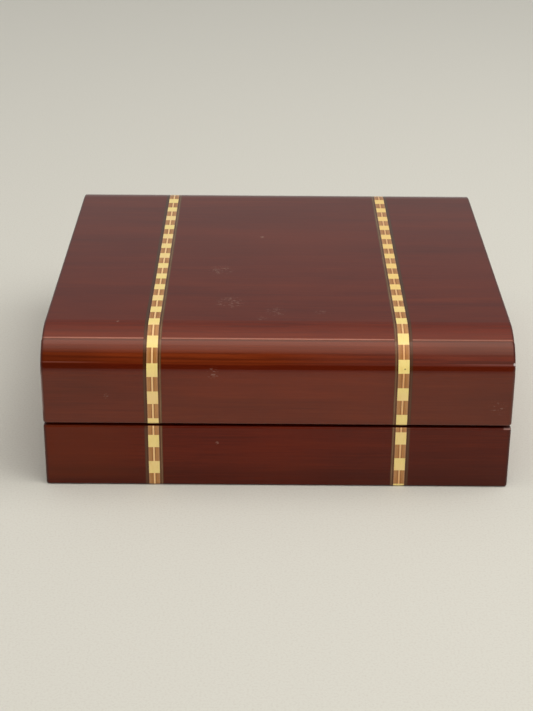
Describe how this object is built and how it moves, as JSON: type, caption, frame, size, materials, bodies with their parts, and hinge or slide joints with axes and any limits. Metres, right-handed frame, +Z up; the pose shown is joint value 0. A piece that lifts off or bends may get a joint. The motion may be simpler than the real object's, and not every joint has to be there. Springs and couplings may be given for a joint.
{
  "type": "coin box",
  "caption": "Low square wooden box with a hinged lid, rounded lid shoulders, two chequered inlay bands and a lined interior divided into coin places.",
  "frame": {"origin": "centre of the underside of the wooden box, on the surface that it stands on", "axes": "+X to the right as seen from the front, +Y from the front to the hinges at the back, +Z up"},
  "size_m": [0.24, 0.2408, 0.083],
  "materials": {
    "lacquered_wood": "gloss lacquer",
    "pale_inlay": "gloss lacquer",
    "brown_inlay": "gloss lacquer",
    "centre_inlay": "gloss lacquer",
    "dark_inlay": "gloss lacquer",
    "grey_inlay": "gloss lacquer",
    "plain_board": "bare",
    "brass": "polished",
    "green_velvet": "short pile",
    "pad_cloth": "satin",
    "baize": "felted"
  },
  "bodies": {
    "base": {"base_back_lining": "green_velvet", "base_back_rail": "lacquered_wood", "base_front_lining": "green_velvet", "base_front_rail": "lacquered_wood", "base_leaf_screws": "brass", "base_left_brown_slips": "brown_inlay", "base_left_centre_slips": "centre_inlay", "base_left_dark_lines": "dark_inlay", "base_left_grey_lines": "grey_inlay", "base_left_lining": "green_velvet", "base_left_pale_blocks": "pale_inlay", "base_left_side": "lacquered_wood", "base_right_brown_slips": "brown_inlay", "base_right_centre_slips": "centre_inlay", "base_right_dark_lines": "dark_inlay", "base_right_grey_lines": "grey_inlay", "base_right_lining": "green_velvet", "base_right_pale_blocks": "pale_inlay", "base_right_side": "lacquered_wood", "bottom_panel": "plain_board", "cross_divider_1": "green_velvet", "cross_divider_2": "green_velvet", "cross_divider_3": "green_velvet", "floor_lining": "green_velvet", "left_hinge_base_leaf": "brass", "left_hinge_pin": "brass", "long_divider_1": "green_velvet", "long_divider_2": "green_velvet", "long_divider_3": "green_velvet", "right_hinge_base_leaf": "brass", "right_hinge_pin": "brass", "underside_baize": "baize"},
    "lid": {"left_hinge_lid_leaf": "brass", "lid_back_lining": "green_velvet", "lid_back_rail": "lacquered_wood", "lid_front_lining": "green_velvet", "lid_front_rail": "lacquered_wood", "lid_leaf_screws": "brass", "lid_left_brown_slips": "brown_inlay", "lid_left_centre_slips": "centre_inlay", "lid_left_dark_lines": "dark_inlay", "lid_left_grey_lines": "grey_inlay", "lid_left_lining": "green_velvet", "lid_left_pale_blocks": "pale_inlay", "lid_left_side": "lacquered_wood", "lid_pad": "pad_cloth", "lid_right_brown_slips": "brown_inlay", "lid_right_centre_slips": "centre_inlay", "lid_right_dark_lines": "dark_inlay", "lid_right_grey_lines": "grey_inlay", "lid_right_lining": "green_velvet", "lid_right_pale_blocks": "pale_inlay", "lid_right_side": "lacquered_wood", "lid_top_panel": "lacquered_wood", "right_hinge_lid_leaf": "brass"}
  },
  "joints": [
    {"name": "lid_hinge", "type": "hinge", "parent": "base", "child": "lid", "pos_m": [0, 0.119, 0.035], "axis": [-1, 0, 0], "range_deg": [0, 95]}
  ]
}
